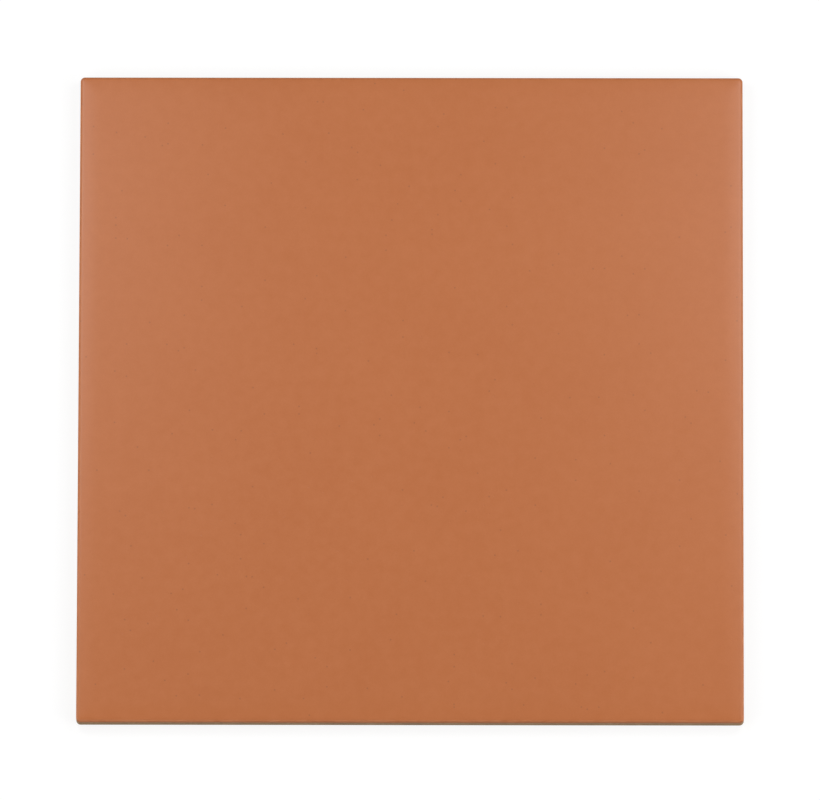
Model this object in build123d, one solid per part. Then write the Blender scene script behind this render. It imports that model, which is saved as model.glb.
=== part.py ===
from build123d import *
import os

# A dry-pressed and fired ceramic floor tile, lying face up on its back.
# It is one solid: a flat square face that rolls down a little along its four sides,
# a rounded arris, upright joint faces, a bevelled back edge, and a moulded back
# with a lattice of raised ribs that keys into the adhesive bed.
# Millimetres. +Z is up, and the origin is the middle of the back, on the rib tops.

# Body
TILE_SIDE = 300.0
TILE_THICKNESS = 8.0
CORNER_RADIUS = 2.0

# Face
ROLL_WIDTH = 9.0
ROLL_DROP = 0.35
FACE_CORNER_RADIUS = 6.0
ARRIS_RADIUS = 1.2

# Back
BACK_BEVEL = 0.8
RIM_BAND = 14.0
CELLS_PER_SIDE = 8
RIB_WIDTH = 5.0
CELL_DEPTH = 0.7
CELL_CORNER_RADIUS = 3.0
CELL_DRAFT_DEG = 35.0


def outline(inset, height, corner_radius):
    """The tile's square outline, set in from its sides at a height above the back."""
    side = TILE_SIDE - 2 * inset
    return Pos(0, 0, height) * RectangleRounded(side, side, corner_radius)


def rolled_face():
    """The top of the tile: level within the roll, then falling in a curve to the shoulder."""
    shoulder = TILE_THICKNESS - ROLL_DROP
    sections = []
    for fall in (1, 0.5, 0):
        inset = ROLL_WIDTH * (1 - fall)
        height = TILE_THICKNESS - ROLL_DROP * fall**2
        corner_radius = FACE_CORNER_RADIUS + (CORNER_RADIUS - FACE_CORNER_RADIUS) * fall
        sections.append(outline(inset, height, corner_radius))
    return extrude(outline(0, 0, CORNER_RADIUS), amount=shoulder) + loft(sections)


def pressed_slab():
    """The slab with its edges eased: a rounded arris above and a bevel below."""
    slab = rolled_face()
    # From the back upwards: the back's ring of edges, the uprights, the shoulder's ring
    shoulder_ring = slab.edges().group_by(Axis.Z)[2]
    slab = fillet(shoulder_ring, ARRIS_RADIUS)
    back_ring = slab.edges().group_by(Axis.Z)[0]
    return chamfer(back_ring, BACK_BEVEL)


def back_cell(width):
    """One shallow cell of the back: square, with round corners and walls drafted towards its floor."""
    mouth = RectangleRounded(width, width, CELL_CORNER_RADIUS)
    return extrude(mouth, amount=CELL_DEPTH, taper=CELL_DRAFT_DEG)


def floor_tile():
    """The finished tile: the slab with the cells of its back sunk between the ribs."""
    pitch = (TILE_SIDE - 2 * RIM_BAND + RIB_WIDTH) / CELLS_PER_SIDE
    cell = back_cell(pitch - RIB_WIDTH)
    cells = [place * cell for place in GridLocations(pitch, pitch, CELLS_PER_SIDE, CELLS_PER_SIDE)]
    return pressed_slab() - cells


tile = floor_tile()
tile.label = "floor_tile"
os.makedirs("parts", exist_ok=True)
export_step(tile, "parts/floor_tile.step")
print("floor_tile", round(tile.volume / 1000, 2), "cm3,", len(tile.faces()), "faces")
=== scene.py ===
"""A square terracotta-coloured ceramic floor tile, face up on a pale studio floor."""

import math
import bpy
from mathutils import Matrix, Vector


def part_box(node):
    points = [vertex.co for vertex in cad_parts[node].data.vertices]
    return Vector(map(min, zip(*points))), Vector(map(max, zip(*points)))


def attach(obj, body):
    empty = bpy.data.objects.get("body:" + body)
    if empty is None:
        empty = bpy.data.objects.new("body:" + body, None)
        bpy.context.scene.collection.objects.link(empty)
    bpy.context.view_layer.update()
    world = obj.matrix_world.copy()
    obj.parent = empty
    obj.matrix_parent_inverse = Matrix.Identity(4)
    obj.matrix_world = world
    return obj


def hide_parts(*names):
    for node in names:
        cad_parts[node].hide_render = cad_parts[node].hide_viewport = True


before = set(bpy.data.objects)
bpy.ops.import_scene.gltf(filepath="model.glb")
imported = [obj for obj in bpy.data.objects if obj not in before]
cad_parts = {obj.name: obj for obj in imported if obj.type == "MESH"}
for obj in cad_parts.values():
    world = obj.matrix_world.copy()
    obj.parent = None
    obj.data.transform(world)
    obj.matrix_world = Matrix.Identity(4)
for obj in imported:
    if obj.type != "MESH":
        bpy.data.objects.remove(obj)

from types import SimpleNamespace

import bmesh
import bpy
from bpy.props import FloatProperty, FloatVectorProperty, IntProperty, PointerProperty
from mathutils import Quaternion, Vector

bl_info = {
    "name": "Ceramic Floor Tile",
    "version": (1, 0, 0),
    "blender": (4, 5, 0),
    "location": "View3D > Sidebar > Floor Tile",
    "description": "Makes a dry-pressed ceramic floor tile with a matte terracotta glaze",
    "category": "Object",
}

MM = 0.001
CAD_LOW, CAD_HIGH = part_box("floor_tile")

# How finely the skin is divided. From a cell's middle outwards come the lines of its flat core, the
# rings that go over its wall onto the rib, and the line where it meets the next cell. Outside the
# cells come the lines of the outer band and the rings of the tile's own edge. The sides have rows.
CELL_CORE_LINES = 2
CELL_RINGS = 6
CELL_HALF_LINES = CELL_CORE_LINES + CELL_RINGS + 1
BAND_LINES = 5
EDGE_RINGS = 7
SIDE_ROWS = 4

# How many faces meet at each edge of a closed skin
FACES_AT_EDGE = 2

# Where the first ring of a cell's floor lies, as a share of the way to the foot of its wall
FLOOR_RING = 0.6

# How far out on the rib the last ring of a cell lies, as a multiple of the die's softness
RIB_RING = 5.0

# The power that shapes an eased edge: 1 makes a quarter of a circle, and 2 a straight bevel
ROUND = 1.0
WORN_BEVEL = 1.75

# Two points of the skin nearer than this are one point
WELD = 0.01 * MM

# Each random pattern starts this much further on than the one before, which is past the tile's end
PATTERN_STEP = 0.4
(CLOUD, MOTTLE, FINE, SPECKS, PEEL, PINHOLES, DRIFT, GRAIN, GROG, RUB, RUNS, DUST) = range(1, 13)

# How many finer layers a noise pattern has on top of its first one
PLAIN = 1.0
UNEVEN = 2.0
RAGGED = 4.0

# A spot's radius as a share of its lattice: to its edge, and as far as it is full
SPOT_EDGE = 0.20
SPOT_CORE = 0.08

# The middle of a noise pattern, how far most of it strays from there, and past which distances
# it makes the crushed grains of the body
NOISE_MIDDLE = 0.5
NOISE_REACH = 0.2
GROG_EDGE = 0.10
GROG_CORE = 0.18

# How much of its own colour a speck or a crushed grain shows
SPOT_STRENGTH = 0.45

# The parts that the clouds, the mottling and the finest marks have in the glaze's tone
CLOUD_PART = 0.22
MOTTLE_PART = 0.45
FINE_PART = 0.33

# The part that the grain has in the body's tone, beside the slow drift, and how much of that tone
# the body shows
GRAIN_PART = 0.5
TONE_STRENGTH = 0.5

# How far the roughness goes up and down with the mottling, the finest marks and the grain
MOTTLE_SWING = 0.03
FINE_SWING = 0.025
GRAIN_SWING = 0.05

# Where over the arris the glaze thins, and where it is whole again, as shares of the way up. Over the
# thin part the glaze is lighter: partly real thin glaze, partly painted light that makes the arris look
# as bright as the face
GLAZE_THINS = (0.10, 0.30)
GLAZE_WHOLE = (0.85, 1.00)

# Between which values of its noise an uneven coat goes from nothing to all
WORN_AND_PAINTED_LIGHT_PATCHES = (0.20, 0.70)
WASH_PATCHES = (0.25, 0.70)
WASH_DUST = (0.30, 0.65)

# How far above the floor the kiln wash reaches, and how far up it is whole
WASH_TOP = 0.10 * MM
WASH_WHOLE = 0.02 * MM

# How far to each side of its line the end of the glaze fades, and how much of the dark glaze's
# colour its bead has
GLAZE_EDGE = 0.03 * MM
BEAD_STRENGTH = 0.8

# How strongly the fired surface bends light
REFRACTION = 1.5

# The floor, in metres: how far it reaches, how far it lies below the tile, and how far the
# window under the tile stays inside the tile's sides
FLOOR_REACH = 15.0
FLOOR_GAP = 0.05 * MM
WINDOW_INSET = 1.0 * MM

# What the part of the floor's white that needs light and the part that needs none add up to
FLOOR_WHOLE = 1.02

# How far a line one metre long rises where the studio's white walls end, and where they have
# wholly given way to its dim ceiling
WALL_TOP = 0.15
CEILING_FOOT = 0.40

# Each lamp's place, the point that it faces and its size, in metres
SIDE_LAMP = ((0.80, -0.33, 0.58), (0.0, 0.0, 0.0), (0.9, 0.5))
FAR_PANEL = ((0.39, 0.30, 0.65), (0.195, 0.15, 0.0), (0.3, 0.4))
LOW_LAMP = ((-0.50, -0.45, -0.55), (0.0, 0.0, 0.0), (0.7, 0.7))


def length(name, description, millimetres):
    """A size that the sidebar shows as a length."""
    return FloatProperty(
        name=name, description=description, default=millimetres * MM, unit="LENGTH", precision=5
    )


def colour(name, description, red, green, blue):
    """A linear colour that the sidebar shows as a swatch."""
    return FloatVectorProperty(
        name=name, description=description, default=(red, green, blue), subtype="COLOR",
        size=3, min=0.0, max=1.0,
    )


def share(name, description, value):
    """A number between nothing and all."""
    return FloatProperty(
        name=name, description=description, default=value, subtype="FACTOR", min=0.0, max=1.0
    )


def count(name, description, value):
    """A whole number."""
    return IntProperty(name=name, description=description, default=value, min=1)


def turn(name, description, degrees):
    """An angle that the sidebar shows in degrees."""
    return FloatProperty(
        name=name, description=description, default=math.radians(degrees), subtype="ANGLE"
    )


def power(name, description, watts):
    """A lamp's power."""
    return FloatProperty(
        name=name, description=description, default=watts, unit="POWER", min=0.0
    )


class TileSizes(bpy.types.PropertyGroup):
    """The sizes that the die and the kiln give the tile."""

    side: length("Side", "Length of each side", (CAD_HIGH.x - CAD_LOW.x) / MM)
    thickness: length("Thickness", "Back to face", (CAD_HIGH.z - CAD_LOW.z) / MM)
    corner_radius: length("Corner radius", "Radius of the corners in plan", 2.0)
    roll_width: length("Roll width", "How far in from the sides the face starts to fall", 9.0)
    roll_drop: length("Roll drop", "How far the face falls over the roll", 0.35)
    arris_radius: length("Arris radius", "Radius between the face and the sides", 1.2)
    back_bevel: length("Back bevel", "Bevel between the sides and the back", 0.8)
    rim_band: length("Rim band", "Level band round the back, outside the cells", 14.0)
    cells_per_side: count("Cells per side", "Cells of the back along one side", 8)
    rib_width: length("Rib width", "Width of the ribs between the cells", 5.0)
    cell_depth: length("Cell depth", "How deep the cells lie between the ribs", 0.7)
    cell_corner_radius: length("Cell corner radius", "Radius of a cell's corners", 3.0)
    cell_draft: length("Cell draft", "How far a cell's wall leans in over its depth", 0.49)
    cell_wear: share("Cell wear", "How much of its depth the most worn cell has lost", 0.06)
    wear_seed: count("Wear seed", "Picks which cells are worn more", 12)
    die_softness: length("Die softness", "Rounding of the cells' edges", 0.09)
    face_wave: length("Face wave", "Depth of the fired face's slow hollows", 0.045)
    wave_span: length("Wave span", "Distance from one hollow of the face to the next", 70.0)
    wave_seed: count("Wave seed", "Picks where the hollows of the face lie", 4)


class TileFinish(bpy.types.PropertyGroup):
    """The colours and the shine of the fired tile."""

    glaze: colour("Glaze", "Main colour of the matte glaze", 0.482, 0.150, 0.0475)
    glaze_light: colour("Light glaze", "Where the glaze lies thin", 0.498, 0.159, 0.0525)
    glaze_dark: colour("Dark glaze", "Where the glaze lies thick", 0.466, 0.141, 0.0425)
    # Partly the real thin glaze over the arris and partly painted light: lighter than the glaze so that
    # the arris looks as lit as the face
    worn_and_painted_light_glaze: colour("Worn glaze", "Where the arris draws the glaze out thinnest", 0.550, 0.198, 0.076)
    speck: colour("Specks", "Iron specks in the glaze", 0.240, 0.085, 0.040)
    body: colour("Body", "The bare fired body of the sides and back", 0.380, 0.236, 0.114)
    body_pale: colour("Pale grains", "Paler grains in the body", 0.495, 0.347, 0.212)
    body_dark: colour("Dark grains", "Darker grains in the body", 0.228, 0.135, 0.069)
    wash: colour("Kiln wash", "Chalky wash that the kiln rollers leave on the ribs", 0.640, 0.595, 0.510)
    glaze_roughness: share("Glaze roughness", "Roughness of the matte glaze", 0.34)
    edge_roughness: share("Edge roughness", "Roughness where the glaze thins over the arris", 0.80)
    body_roughness: share("Body roughness", "Roughness of the bare body", 0.88)


class TileTexture(bpy.types.PropertyGroup):
    """The scale and the depth of the fine marks in the glaze and the body."""

    glaze_line: length("Glaze line", "Height at which the glaze ends on the sides", 5.25)
    glaze_wander: length("Glaze wander", "How far the glaze's end runs up and down", 0.80)
    runs_span: length("Run span", "Distance from one run of the glaze's end to the next", 16.0)
    glaze_depth: length("Glaze depth", "How far the glaze stands proud of the body", 0.12)
    lip_height: length("Lip height", "How soon above its end the glaze has its whole depth", 0.25)
    bead_depth: length("Bead depth", "How far the glaze gathers at its end", 0.05)
    bead_height: length("Bead height", "How far up from its end the glaze is gathered", 0.90)
    cloud_span: length("Cloud span", "Size of the slow changes of tone in the glaze", 45.0)
    mottle_span: length("Mottle span", "Size of the glaze's mottling", 4.5)
    fine_span: length("Fine span", "Size of the glaze's finest marks", 0.7)
    fine_depth: length("Fine depth", "Relief of the glaze's finest marks", 0.004)
    peel_span: length("Peel span", "Distance from one wave of the glaze's skin to the next", 1.6)
    peel_depth: length("Peel depth", "Relief of the waves of the glaze's skin", 0.010)
    speck_gap: length("Speck gap", "Lattice on which the specks lie", 2.6)
    speck_share: share("Speck share", "Share of the lattice that holds a speck", 0.02)
    pinhole_gap: length("Pinhole gap", "Lattice on which the pinholes lie", 2.2)
    pinhole_share: share("Pinhole share", "Share of the lattice that holds a pinhole", 0.015)
    pinhole_depth: length("Pinhole depth", "Depth of the pinholes", 0.03)
    drift_span: length("Drift span", "Size of the slow changes of tone in the body", 12.0)
    grain_span: length("Grain span", "Size of the body's grain", 0.5)
    grain_depth: length("Grain depth", "Relief of the body's grain", 0.05)
    grog_span: length("Grog span", "Size of the crushed grains in the body", 1.1)
    grog_depth: length("Grog depth", "Relief of the crushed grains", 0.03)
    rub_span: length("Rub span", "Size of the patches of kiln wash", 14.0)
    dust_span: length("Dust span", "Size of the kiln wash's powdery marks", 0.9)


class StudioSetting(bpy.types.PropertyGroup):
    """The camera, the floor and the lamps."""

    elevation: turn("Elevation", "Camera's height above the horizon", 75.69)
    azimuth: turn("Azimuth", "Camera's place round the tile", 1.21)
    roll: turn("Roll", "Camera's turn about its own view", -1.10)
    distance: length("Distance", "Camera to the middle of the picture", 8117.0)
    view_width: length("View width", "Width that the picture takes in at the tile", 370.3)
    aim: FloatVectorProperty(
        name="Aim", description="Point in the middle of the picture",
        default=(-0.38 * MM, 1.02 * MM, 0.0), subtype="XYZ",
    )
    floor_pale: share("Floor", "Paleness of the floor", 0.50)
    floor_white: share("Floor white", "How much of the floor's white needs no light", 0.80)
    sky: share("Sky", "Light that comes from all round", 0.20)
    far_panels: power("Far panels", "Each of the two soft panels over the tile's far corners", 1.67)
    left_lamp: power("Left lamp", "Large soft lamp beside the tile, on the left", 4.47)
    right_lamp: power("Right lamp", "Large soft lamp beside the tile, on the right", 5.50)
    low_lamp: power("Low lamp", "Large soft lamp below the tile, for its back", 14.0)


class Field:
    """A number in a node tree that can be added, multiplied and so on, as in a formula."""

    def __init__(self, tree, socket):
        self.tree = tree
        self.socket = socket

    def worked(self, operation, *others):
        """What one Math node makes of this number and the others."""
        node = self.tree.nodes.new("ShaderNodeMath")
        node.operation = operation
        for place, value in enumerate((self, *others)):
            feed(self.tree, value, node.inputs[place])
        return Field(self.tree, node.outputs[0])

    def __add__(self, other):
        return self.worked("ADD", other)

    __radd__ = __add__

    def __sub__(self, other):
        return self.worked("SUBTRACT", other)

    def __rsub__(self, other):
        return self * -1.0 + other

    def __mul__(self, other):
        return self.worked("MULTIPLY", other)

    __rmul__ = __mul__

    def __truediv__(self, other):
        return self.worked("DIVIDE", other)

    def __rtruediv__(self, other):
        return self.worked("POWER", -1.0) * other

    def size(self):
        """The number without its sign."""
        return self.worked("ABSOLUTE")

    def sign(self):
        """Minus one, nothing or one."""
        return self.worked("SIGN")

    def at_least(self, other):
        """The larger of the two."""
        return self.worked("MAXIMUM", other)

    def at_most(self, other):
        """The smaller of the two."""
        return self.worked("MINIMUM", other)

    def below(self, other):
        """One where this number is the smaller, and otherwise nothing."""
        return self.worked("LESS_THAN", other)

    def ramp(self, start, end):
        """Nothing before start, one after end and even in between."""
        node = self.tree.nodes.new("ShaderNodeMapRange")
        feed(self.tree, self, node.inputs["Value"])
        feed(self.tree, start, node.inputs["From Min"])
        feed(self.tree, end, node.inputs["From Max"])
        return Field(self.tree, node.outputs["Result"])


def feed(tree, value, socket):
    """Gives a socket a field, another node's output or a plain value."""
    if isinstance(value, Field):
        tree.links.new(value.socket, socket)
    elif isinstance(value, bpy.types.NodeSocket):
        tree.links.new(value, socket)
    elif socket.type == "INT":
        socket.default_value = int(value)
    elif socket.type == "RGBA":
        socket.default_value = (*value, 1.0)
    else:
        socket.default_value = value


def stepped(step, values):
    """The value that belongs to a whole-numbered step, even in between."""
    total = values[0]
    for place in range(1, len(values)):
        rise = values[place] - values[place - 1]
        total = total + step.ramp(place - 1, place) * rise
    return total


def blended(factor, first, second):
    """A number between two, by a factor."""
    return first + (second - first) * factor


def vector(tree, x, y, z):
    """One vector from three numbers."""
    node = tree.nodes.new("ShaderNodeCombineXYZ")
    for place, value in enumerate((x, y, z)):
        feed(tree, value, node.inputs[place])
    return node.outputs[0]


def numbers(tree, socket):
    """The three numbers of one vector."""
    node = tree.nodes.new("ShaderNodeSeparateXYZ")
    tree.links.new(socket, node.inputs[0])
    return [Field(tree, output) for output in node.outputs]


def direction(tree, x, y):
    """The unit vector along x and y, as two numbers."""
    node = tree.nodes.new("ShaderNodeVectorMath")
    node.operation = "NORMALIZE"
    tree.links.new(vector(tree, x, y, 0.0), node.inputs[0])
    return numbers(tree, node.outputs[0])[:2]


def node_with(tree, kind, **values):
    """A new node with some of its inputs given, by name."""
    node = tree.nodes.new(kind)
    for name, value in values.items():
        feed(tree, value, node.inputs[name])
    return node


def moved(tree, mesh, x, y, z):
    """The mesh with its points at new places."""
    place = vector(tree, x, y, z)
    return node_with(tree, "GeometryNodeSetPosition", Geometry=mesh, Position=place).outputs[0]


def flipped(tree, mesh):
    """The mesh with its faces turned over."""
    return node_with(tree, "GeometryNodeFlipFaces", Mesh=mesh).outputs[0]


def here(tree):
    """Where a point or the middle of a face is in plan, as two numbers."""
    return numbers(tree, tree.nodes.new("GeometryNodeInputPosition").outputs[0])[:2]


def square_grid(tree, side, points):
    """A square grid of so many points along each side."""
    grid = tree.nodes.new("GeometryNodeMeshGrid")
    for axis in ("X", "Y"):
        feed(tree, side, grid.inputs[f"Size {axis}"])
        feed(tree, points, grid.inputs[f"Vertices {axis}"])
    return grid.outputs["Mesh"]


def counted_grid(tree, half_lines):
    """A square grid whose points lie at whole numbers, and the column and row of each."""
    span = half_lines * 2.0
    column, row = here(tree)
    return square_grid(tree, span, span + 1.0), column.worked("ROUND"), row.worked("ROUND")


def corner_rings(tree, column, row, core_lines):
    """Which ring round the core a point is on, and its direction from the core's nearest corner."""
    ring_x = (column.size() - core_lines).at_least(0.0)
    ring_y = (row.size() - core_lines).at_least(0.0)
    return ring_x.at_least(ring_y), *direction(tree, ring_x, ring_y)


def eased_edge(radius, power_of_turn):
    """How far an edge has gone out and down at each of its rings."""
    turns = [math.radians(90.0 * ring / (EDGE_RINGS - 1)) for ring in range(EDGE_RINGS)]
    out = [radius * math.sin(angle) ** power_of_turn for angle in turns]
    down = [radius * (1.0 - max(math.cos(angle), 0.0) ** power_of_turn) for angle in turns]
    return out, down


def sheet_places(tree, sizes, edge):
    """A sheet's mesh, where its points go in plan, and how far each is from the sides and down."""
    field_lines = sizes.cells_per_side * CELL_HALF_LINES
    core_lines = field_lines + BAND_LINES
    mesh, column, row = counted_grid(tree, core_lines + EDGE_RINGS)
    corner_centre = sizes.half - sizes.corner_radius

    def line_place(line):
        in_field = line.at_most(field_lines) * sizes.line_gap
        beyond = line.ramp(field_lines, core_lines) * (corner_centre - sizes.field_half)
        return in_field + beyond

    ring, toward_x, toward_y = corner_rings(tree, column, row, core_lines)
    edge_out, edge_down = edge
    level_part = sizes.corner_radius - edge_out[-1]
    out = stepped(ring, [0.0, *[level_part + step for step in edge_out]])
    down = stepped(ring, [0.0, *edge_down])
    across, along = line_place(column.size()), line_place(row.size())
    x = column.sign() * (across + toward_x * out)
    y = row.sign() * (along + toward_y * out)
    inset = sizes.half - across.at_least(along) - out
    return mesh, x, y, inset, down


def slow_hollows(tree, sizes, x, y):
    """A slow random depth over the face, from nothing to one."""
    pattern = tree.nodes.new("ShaderNodeTexNoise")
    pattern.noise_dimensions = "4D"
    feed(tree, vector(tree, x, y, 0.0), pattern.inputs["Vector"])
    feed(tree, 1.0 / sizes.wave_span, pattern.inputs["Scale"])
    feed(tree, sizes.wave_seed, pattern.inputs["W"])
    return Field(tree, pattern.outputs[0])


def face_sheet(tree, sizes):
    """The face, falling over the roll and turning down over the arris."""
    arris = eased_edge(sizes.arris_radius, ROUND)
    mesh, x, y, inset, down = sheet_places(tree, sizes, arris)
    fall = (sizes.roll_width - inset).at_least(0.0) / sizes.roll_width
    calm = inset.ramp(0.0, sizes.roll_width)
    hollow = sizes.face_wave * slow_hollows(tree, sizes, x, y) * calm
    height = sizes.thickness - sizes.roll_drop * fall * fall - down - hollow
    return moved(tree, mesh, x, y, height)


def with_sides(tree, sizes, sheet):
    """The face with the upright sides drawn down from its edge in a few rows."""
    side_top = sizes.thickness - sizes.roll_drop - sizes.arris_radius
    step = (sizes.back_bevel - side_top) / SIDE_ROWS
    offset = vector(tree, 0.0, 0.0, step)
    face_count = tree.nodes.new("GeometryNodeInputMeshEdgeNeighbors").outputs[0]
    rim = Field(tree, face_count).below(FACES_AT_EDGE)
    for row in range(SIDE_ROWS):
        drawn = tree.nodes.new("GeometryNodeExtrudeMesh")
        drawn.mode = "EDGES"
        feed(tree, sheet, drawn.inputs["Mesh"])
        feed(tree, rim, drawn.inputs["Selection"])
        feed(tree, offset, drawn.inputs["Offset"])
        sheet, rim = drawn.outputs["Mesh"], drawn.outputs["Top"]
    return sheet


def back_rim(tree, sizes):
    """The level band round the back with its bevel, open where the cells go."""
    bevel = eased_edge(sizes.back_bevel, WORN_BEVEL)
    mesh, x, y, inset, down = sheet_places(tree, sizes, bevel)
    sheet = flipped(tree, moved(tree, mesh, x, y, down))
    middle_x, middle_y = here(tree)
    opened = tree.nodes.new("GeometryNodeDeleteGeometry")
    opened.domain = "FACE"
    feed(tree, sheet, opened.inputs["Geometry"])
    in_field = middle_x.size().at_least(middle_y.size()).below(sizes.field_half)
    feed(tree, in_field, opened.inputs["Selection"])
    return opened.outputs[0]


def back_cell(tree, sizes):
    """One cell of the back with its share of the ribs round it, hollow side down."""
    mesh, column, row = counted_grid(tree, CELL_HALF_LINES)
    ring, toward_x, toward_y = corner_rings(tree, column, row, CELL_CORE_LINES)

    depth, mouth, soft = sizes.cell_depth, sizes.cell_corner_radius, sizes.die_softness
    foot = mouth - sizes.cell_draft
    eased = depth * (soft / sizes.cell_draft)
    out = stepped(ring, [
        0.0, foot * FLOOR_RING, foot - soft, foot + soft,
        mouth - soft, mouth + soft, mouth + soft * RIB_RING,
    ])
    height = stepped(ring, [depth, depth, depth, depth - eased, eased, 0.0, 0.0])
    at_border = ring.ramp(CELL_RINGS, CELL_RINGS + 1)
    corner_centre = (sizes.pitch - sizes.rib_width) / 2.0 - mouth

    def place(line, toward):
        inside = line.size().at_most(CELL_CORE_LINES) * corner_centre / CELL_CORE_LINES
        rounded = line.sign() * (inside + toward * out)
        return blended(at_border, rounded, line * sizes.line_gap)

    return flipped(tree, moved(tree, mesh, place(column, toward_x), place(row, toward_y), height))


def cell_field(tree, sizes):
    """All the cells of the back, each a little more or less worn down, as one mesh."""
    cells = sizes.cells_per_side
    wear = tree.nodes.new("FunctionNodeRandomValue")
    wear.data_type = "FLOAT"
    low, high = [socket for socket in wear.inputs if socket.enabled][:2]
    feed(tree, 1.0 - sizes.cell_wear, low)
    feed(tree, 1.0, high)
    feed(tree, sizes.wear_seed, wear.inputs["Seed"])
    depth_left = [output for output in wear.outputs if output.enabled][0]
    placed = tree.nodes.new("GeometryNodeInstanceOnPoints")
    feed(tree, square_grid(tree, (cells - 1.0) * sizes.pitch, cells), placed.inputs["Points"])
    feed(tree, back_cell(tree, sizes), placed.inputs["Instance"])
    feed(tree, vector(tree, 1.0, 1.0, depth_left), placed.inputs["Scale"])
    return node_with(tree, "GeometryNodeRealizeInstances", Geometry=placed.outputs[0]).outputs[0]


def tile_tree():
    """The node tree that presses the whole skin of the tile from its named sizes."""
    tree = bpy.data.node_groups.new("pressed_tile", "GeometryNodeTree")
    for name in TileSizes.__annotations__:
        whole = TileSizes.bl_rna.properties[name].type == "INT"
        kind = "NodeSocketInt" if whole else "NodeSocketFloat"
        tree.interface.new_socket(name, in_out="INPUT", socket_type=kind)
    tree.interface.new_socket("finish", in_out="INPUT", socket_type="NodeSocketMaterial")
    tree.interface.new_socket("Geometry", in_out="OUTPUT", socket_type="NodeSocketGeometry")
    given = tree.nodes.new("NodeGroupInput").outputs
    sizes = SimpleNamespace(**{name: Field(tree, given[name]) for name in TileSizes.__annotations__})
    sizes.half = sizes.side / 2.0
    sizes.pitch = (sizes.side - sizes.rim_band * 2.0 + sizes.rib_width) / sizes.cells_per_side
    sizes.field_half = sizes.pitch * sizes.cells_per_side / 2.0
    sizes.line_gap = sizes.pitch / (2.0 * CELL_HALF_LINES)

    joined = tree.nodes.new("GeometryNodeJoinGeometry")
    face_and_sides = with_sides(tree, sizes, face_sheet(tree, sizes))
    for skin in (cell_field(tree, sizes), back_rim(tree, sizes), face_and_sides):
        tree.links.new(skin, joined.inputs[0])
    welded = node_with(tree, "GeometryNodeMergeByDistance", Geometry=joined.outputs[0], Distance=WELD)
    smooth = node_with(tree, "GeometryNodeSetShadeSmooth", Geometry=welded.outputs[0])
    whole = node_with(tree, "GeometryNodeRealizeInstances", Geometry=smooth.outputs[0])
    coated = node_with(
        tree, "GeometryNodeSetMaterial", Geometry=whole.outputs[0], Material=given["finish"]
    )
    tree.links.new(coated.outputs[0], tree.nodes.new("NodeGroupOutput").inputs[0])
    return tree


def pressed_mesh(tree, sizes, material):
    """The tree's result for these sizes, as a plain closed mesh."""
    blank = bpy.data.objects.new("blank", bpy.data.meshes.new("blank"))
    bpy.context.scene.collection.objects.link(blank)
    modifier = blank.modifiers.new("press", "NODES")
    modifier.node_group = tree
    for item in tree.interface.items_tree:
        if item.in_out == "INPUT":
            value = material if item.name == "finish" else getattr(sizes, item.name)
            modifier[item.identifier] = value
    evaluated = blank.evaluated_get(bpy.context.evaluated_depsgraph_get())
    mesh = bpy.data.meshes.new_from_object(evaluated)
    bpy.data.objects.remove(blank)
    # The tree's grids bring an empty material slot along
    mesh.materials.pop(index=0)
    shell = bmesh.new()
    shell.from_mesh(mesh)
    bmesh.ops.recalc_face_normals(shell, faces=shell.faces)
    open_edges = [edge for edge in shell.edges if len(edge.link_faces) != FACES_AT_EDGE]
    if open_edges:
        raise RuntimeError(f"the tile's skin has {len(open_edges)} open edges")
    shell.to_mesh(mesh)
    shell.free()
    return mesh


def pattern_place(tree, place, seed):
    """The same place, but in a stretch of the random patterns that no other seed uses."""
    node = tree.nodes.new("ShaderNodeVectorMath")
    node.operation = "ADD"
    feed(tree, place, node.inputs[0])
    node.inputs[1].default_value = (PATTERN_STEP * seed, 0.0, 0.0)
    return node.outputs[0]


def noise(tree, place, span, detail, seed):
    """Soft random patches about span metres across, from nothing to one."""
    node = tree.nodes.new("ShaderNodeTexNoise")
    feed(tree, pattern_place(tree, place, seed), node.inputs["Vector"])
    node.inputs["Scale"].default_value = 1.0 / span
    node.inputs["Detail"].default_value = detail
    return Field(tree, node.outputs[0])


def swing(pattern, reach):
    """How far a noise moves a value up or down, which is reach at its most."""
    return (pattern - NOISE_MIDDLE) * (2.0 * reach)


def spots(tree, place, gap, kept, seed):
    """Round spots seen from above, on a loose lattice: one in the middle of a spot."""
    node = tree.nodes.new("ShaderNodeTexVoronoi")
    node.voronoi_dimensions = "2D"
    feed(tree, pattern_place(tree, place, seed), node.inputs["Vector"])
    node.inputs["Scale"].default_value = 1.0 / gap
    chance = numbers(tree, node.outputs["Color"])[0]
    near = Field(tree, node.outputs["Distance"]).ramp(SPOT_EDGE, SPOT_CORE)
    return near * chance.below(kept)


def mixed(tree, factor, first, second):
    """A colour between two, by a factor."""
    node = tree.nodes.new("ShaderNodeMix")
    node.data_type = "RGBA"
    first_in, second_in = [socket for socket in node.inputs if socket.type == "RGBA"]
    feed(tree, factor, node.inputs[0])
    feed(tree, first, first_in)
    feed(tree, second, second_in)
    return [output for output in node.outputs if output.type == "RGBA"][0]


def toned(tree, tone, middle, light, dark):
    """A colour that follows a noise up to the light one and down to the dark one."""
    lighter = mixed(tree, tone.ramp(NOISE_MIDDLE, NOISE_MIDDLE + NOISE_REACH), middle, light)
    return mixed(tree, tone.ramp(NOISE_MIDDLE, NOISE_MIDDLE - NOISE_REACH), lighter, dark)


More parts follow.
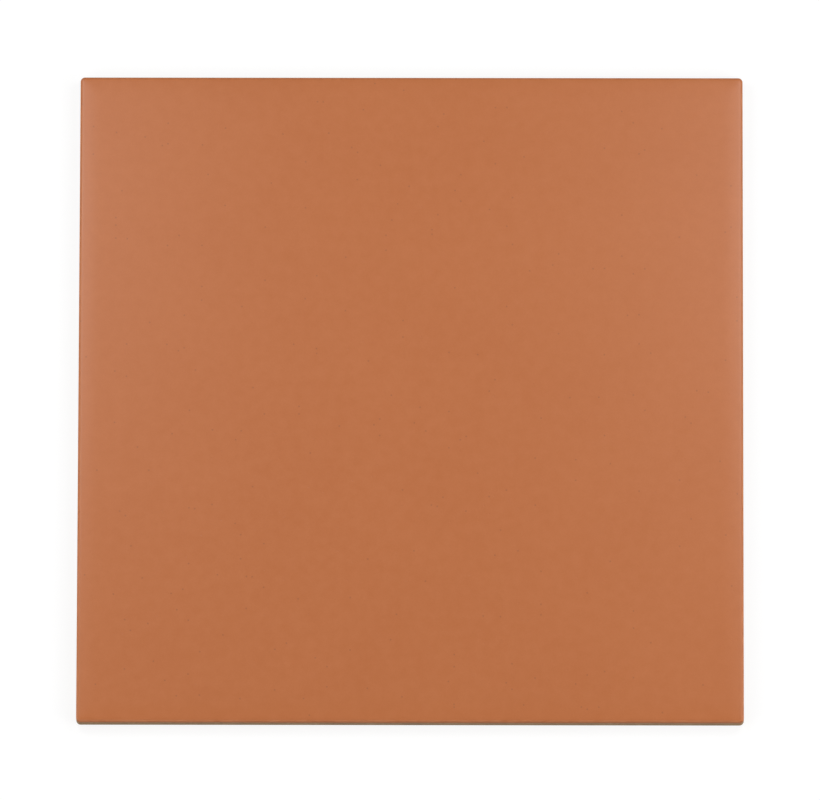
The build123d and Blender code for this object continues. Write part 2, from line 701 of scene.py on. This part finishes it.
def glaze_look(tree, place, finish, texture, height, sizes):
    """The matte glaze: its colour, with painted light that lightens the arris, its roughness and its
    relief in metres.
    """
    arris_foot = sizes.thickness - sizes.roll_drop - sizes.arris_radius
    up_arris = (height - arris_foot) / sizes.arris_radius
    on_face = up_arris.ramp(*GLAZE_WHOLE)
    arris_worn_and_painted_light = (1.0 - on_face) * up_arris.ramp(*GLAZE_THINS)

    cloud = noise(tree, place, texture.cloud_span, UNEVEN, CLOUD)
    mottle = noise(tree, place, texture.mottle_span, UNEVEN, MOTTLE)
    fine = noise(tree, place, texture.fine_span, PLAIN, FINE)
    tone = cloud * CLOUD_PART + mottle * MOTTLE_PART + fine * FINE_PART
    glaze = toned(tree, tone, finish.glaze, finish.glaze_light, finish.glaze_dark)
    # Painted light: patches over the arris go towards the lighter worn glaze, partly as real thin glaze
    # and partly so the arris looks as lit as the face
    glaze = mixed(tree, arris_worn_and_painted_light * mottle.ramp(*WORN_AND_PAINTED_LIGHT_PATCHES), glaze, finish.worn_and_painted_light_glaze)
    specks = spots(tree, place, texture.speck_gap, texture.speck_share, SPECKS) * on_face
    glaze = mixed(tree, specks * SPOT_STRENGTH, glaze, finish.speck)

    thinned = blended(on_face, finish.edge_roughness, finish.glaze_roughness)
    roughness = thinned + swing(mottle, MOTTLE_SWING) + swing(fine, FINE_SWING)
    peel = noise(tree, place, texture.peel_span, PLAIN, PEEL)
    pinholes = spots(tree, place, texture.pinhole_gap, texture.pinhole_share, PINHOLES) * on_face
    relief = peel * texture.peel_depth + fine * texture.fine_depth - pinholes * texture.pinhole_depth
    return glaze, roughness, relief


def body_look(tree, place, finish, texture, height):
    """The bare fired body with the wash on its ribs: colour, roughness and relief in metres."""
    drift = noise(tree, place, texture.drift_span, UNEVEN, DRIFT)
    grain = noise(tree, place, texture.grain_span, UNEVEN, GRAIN)
    grog = noise(tree, place, texture.grog_span, PLAIN, GROG)
    pale_grog = grog.ramp(NOISE_MIDDLE + GROG_EDGE, NOISE_MIDDLE + GROG_CORE)
    dark_grog = grog.ramp(NOISE_MIDDLE - GROG_EDGE, NOISE_MIDDLE - GROG_CORE)
    tone = blended(GRAIN_PART, drift, grain)
    grained = toned(tree, tone, finish.body, finish.body_pale, finish.body_dark)
    body = mixed(tree, TONE_STRENGTH, finish.body, grained)
    body = mixed(tree, pale_grog * SPOT_STRENGTH, body, finish.body_pale)
    body = mixed(tree, dark_grog * SPOT_STRENGTH, body, finish.body_dark)

    rub = noise(tree, place, texture.rub_span, UNEVEN, RUB)
    dust = noise(tree, place, texture.dust_span, UNEVEN, DUST)
    on_ribs = height.ramp(WASH_TOP, WASH_WHOLE)
    washed = on_ribs * rub.ramp(*WASH_PATCHES) * dust.ramp(*WASH_DUST)
    body = mixed(tree, washed, body, finish.wash)

    roughness = swing(grain, GRAIN_SWING) + finish.body_roughness
    relief = grain * texture.grain_depth + (pale_grog - dark_grog) * texture.grog_depth
    return body, roughness, relief


def fired_finish(finish, texture, sizes):
    """The tile's one material: glaze down to a wandering line on the sides, bare body below it."""
    material = bpy.data.materials.new("glazed_tile")
    material.use_nodes = True
    tree = material.node_tree
    shader = tree.nodes["Principled BSDF"]
    place = tree.nodes.new("ShaderNodeTexCoord").outputs["Object"]
    height = numbers(tree, place)[2]
    glaze, glaze_rough, glaze_relief = glaze_look(tree, place, finish, texture, height, sizes)
    body, body_rough, body_relief = body_look(tree, place, finish, texture, height)

    runs = noise(tree, place, texture.runs_span, RAGGED, RUNS)
    line = texture.glaze_line - swing(runs, texture.glaze_wander)
    above = height - line
    glazed = above.ramp(-GLAZE_EDGE, GLAZE_EDGE)
    proud = above.ramp(-GLAZE_EDGE, texture.lip_height)
    bead = proud * above.ramp(texture.bead_height, texture.lip_height)
    glaze = mixed(tree, bead * BEAD_STRENGTH, glaze, finish.glaze_dark)

    feed(tree, mixed(tree, glazed, body, glaze), shader.inputs["Base Color"])
    feed(tree, blended(glazed, body_rough, glaze_rough), shader.inputs["Roughness"])
    shader.inputs["IOR"].default_value = REFRACTION
    relief = blended(glazed, body_relief, glaze_relief)
    relief = relief + proud * texture.glaze_depth + bead * texture.bead_depth
    bump = node_with(tree, "ShaderNodeBump", Strength=1.0, Distance=1.0, Height=relief)
    feed(tree, bump.outputs["Normal"], shader.inputs["Normal"])
    return material


def blended_shader(tree, factor, first, second):
    """A shader between two, by a factor."""
    node = tree.nodes.new("ShaderNodeMixShader")
    for place, value in enumerate((factor, first.outputs[0], second.outputs[0])):
        feed(tree, value, node.inputs[place])
    return node


def showing_rays(tree):
    """One where the camera looks straight at a thing, and one where a mirror or glass shows it."""
    ray = tree.nodes.new("ShaderNodeLightPath").outputs
    mirrored = Field(tree, ray["Is Glossy Ray"]).at_least(ray["Is Transmission Ray"])
    return Field(tree, ray["Is Camera Ray"]), mirrored


def floor_finish(setting):
    """The pale floor: it keeps the tile's shadow, is white beside it, and is clear from below."""
    material = bpy.data.materials.new("studio_floor")
    material.use_nodes = True
    tree = material.node_tree
    tree.nodes.clear()
    straight, mirrored = showing_rays(tree)
    lit = node_with(tree, "ShaderNodeBsdfDiffuse", Color=(setting.floor_pale,) * 3)
    shaded_grey = FLOOR_WHOLE - setting.floor_white
    shaded = node_with(tree, "ShaderNodeBsdfDiffuse", Color=(shaded_grey,) * 3)
    white = node_with(tree, "ShaderNodeEmission", Strength=setting.floor_white)
    shown = tree.nodes.new("ShaderNodeAddShader")
    tree.links.new(shaded.outputs[0], shown.inputs[0])
    tree.links.new(white.outputs[0], shown.inputs[1])
    from_above = blended_shader(tree, straight.at_least(mirrored), lit, shown)
    underside = tree.nodes.new("ShaderNodeNewGeometry").outputs["Backfacing"]
    clear = tree.nodes.new("ShaderNodeBsdfTransparent")
    whole = blended_shader(tree, straight * underside, from_above, clear)
    output = tree.nodes.new("ShaderNodeOutputMaterial")
    tree.links.new(whole.outputs[0], output.inputs["Surface"])
    return material


def lay_floor(setting):
    """A wide level floor, just under the tile, with a window that lets light through to its back."""
    window = CAD_HIGH.x - WINDOW_INSET
    around = ((-1, -1), (1, -1), (1, 1), (-1, 1))
    corners = [
        (along * span, across * span, -FLOOR_GAP)
        for span in (FLOOR_REACH, window)
        for along, across in around
    ]
    sides = len(around)
    strips = [
        (side, (side + 1) % sides, (side + 1) % sides + sides, side + sides)
        for side in range(sides)
    ]
    mesh = bpy.data.meshes.new("studio_floor")
    mesh.from_pydata(corners, [], strips)
    mesh.materials.append(floor_finish(setting))
    floor = bpy.data.objects.new("studio_floor", mesh)
    bpy.context.scene.collection.objects.link(floor)


def hang_lamp(name, lamp, watts, side=1):
    """A soft rectangular lamp that faces a point, or its mirror image across the tile for side -1."""
    place, target, size = lamp
    light = bpy.data.lights.new(name, "AREA")
    light.shape = "RECTANGLE"
    light.size, light.size_y = size
    light.energy = watts
    holder = bpy.data.objects.new(name, light)
    to_side = Vector((side, 1, 1))
    holder.location = Vector(place) * to_side
    facing = Vector(target) * to_side - holder.location
    holder.rotation_euler = facing.to_track_quat("-Z", "Y").to_euler()
    holder.visible_camera = False
    bpy.context.scene.collection.objects.link(holder)


def light_sky(setting):
    """Even light from all round, which is white to the camera and has white walls for mirrors."""
    world = bpy.data.worlds.new("studio_sky")
    world.use_nodes = True
    tree = world.node_tree
    tree.nodes.clear()
    straight, mirrored = showing_rays(tree)
    rise = numbers(tree, tree.nodes.new("ShaderNodeTexCoord").outputs["Object"])[2]
    on_wall = rise.ramp(CEILING_FOOT, WALL_TOP)
    strength = blended(straight.at_least(mirrored * on_wall), setting.sky, 1.0)
    sky = node_with(tree, "ShaderNodeBackground", Color=(1.0, 1.0, 1.0), Strength=strength)
    tree.links.new(sky.outputs[0], tree.nodes.new("ShaderNodeOutputWorld").inputs["Surface"])
    bpy.context.scene.world = world


def set_camera(setting):
    """A camera with a very long lens, nearly above the tile."""
    data = bpy.data.cameras.new("camera")
    camera = bpy.data.objects.new("camera", data)
    up, round_it = setting.elevation, setting.azimuth
    back = Vector(
        (math.sin(round_it) * math.cos(up), -math.cos(round_it) * math.cos(up), math.sin(up))
    )
    camera.location = Vector(setting.aim) + back * setting.distance
    camera.rotation_mode = "QUATERNION"
    facing = (-back).to_track_quat("-Z", "Y")
    camera.rotation_quaternion = facing @ Quaternion((0.0, 0.0, 1.0), setting.roll)
    data.lens = data.sensor_width * setting.distance / setting.view_width
    data.clip_end = setting.distance + FLOOR_REACH * 2.0
    bpy.context.scene.collection.objects.link(camera)
    bpy.context.scene.camera = camera


class TILE_OT_press(bpy.types.Operator):
    """Press and fire the tile: its face, sides and ribbed back as one closed skin"""

    bl_idname = "floor_tile.press"
    bl_label = "Press Tile"

    def execute(self, context):
        scene = context.scene
        material = fired_finish(scene.tile_finish, scene.tile_texture, scene.tile_sizes)
        mesh = pressed_mesh(tile_tree(), scene.tile_sizes, material)
        tile = bpy.data.objects.new("ceramic_tile", mesh)
        scene.collection.objects.link(tile)
        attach(tile, "root")
        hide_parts("floor_tile")
        return {"FINISHED"}


class TILE_OT_stage(bpy.types.Operator):
    """Set the pale floor, the soft lamps and the camera round the tile"""

    bl_idname = "floor_tile.stage"
    bl_label = "Set Stage"

    def execute(self, context):
        setting = context.scene.studio_setting
        lay_floor(setting)
        light_sky(setting)
        for hand, side, watts in (("left", -1, setting.left_lamp), ("right", 1, setting.right_lamp)):
            hang_lamp(f"{hand}_lamp", SIDE_LAMP, watts, side)
            hang_lamp(f"far_{hand}_panel", FAR_PANEL, setting.far_panels, side)
        hang_lamp("low_lamp", LOW_LAMP, setting.low_lamp)
        set_camera(setting)
        context.scene.view_settings.view_transform = "Standard"
        return {"FINISHED"}


class TILE_PT_sidebar(bpy.types.Panel):
    """Lists the steps, the sizes and the finish of the tile"""

    bl_idname = "TILE_PT_sidebar"
    bl_label = "Floor Tile"
    bl_space_type = "VIEW_3D"
    bl_region_type = "UI"
    bl_category = "Floor Tile"

    def draw(self, context):
        scene = context.scene
        steps = (
            (TILE_OT_press, (scene.tile_sizes, scene.tile_finish, scene.tile_texture)),
            (TILE_OT_stage, (scene.studio_setting,)),
        )
        for step, groups in steps:
            for group in groups:
                column = self.layout.column(align=True)
                for name in group.__annotations__:
                    column.prop(group, name)
            self.layout.operator(step.bl_idname)


GROUPS = {
    "tile_sizes": TileSizes,
    "tile_finish": TileFinish,
    "tile_texture": TileTexture,
    "studio_setting": StudioSetting,
}
CLASSES = (*GROUPS.values(), TILE_OT_press, TILE_OT_stage, TILE_PT_sidebar)


def register():
    for kind in CLASSES:
        bpy.utils.register_class(kind)
    for name, group in GROUPS.items():
        setattr(bpy.types.Scene, name, PointerProperty(type=group))


def unregister():
    for name in GROUPS:
        delattr(bpy.types.Scene, name)
    for kind in reversed(CLASSES):
        bpy.utils.unregister_class(kind)


def main():
    """Makes the tile and its stage."""
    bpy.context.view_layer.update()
    register()
    bpy.ops.floor_tile.press()
    bpy.ops.floor_tile.stage()


if __name__ == "__main__":
    main()
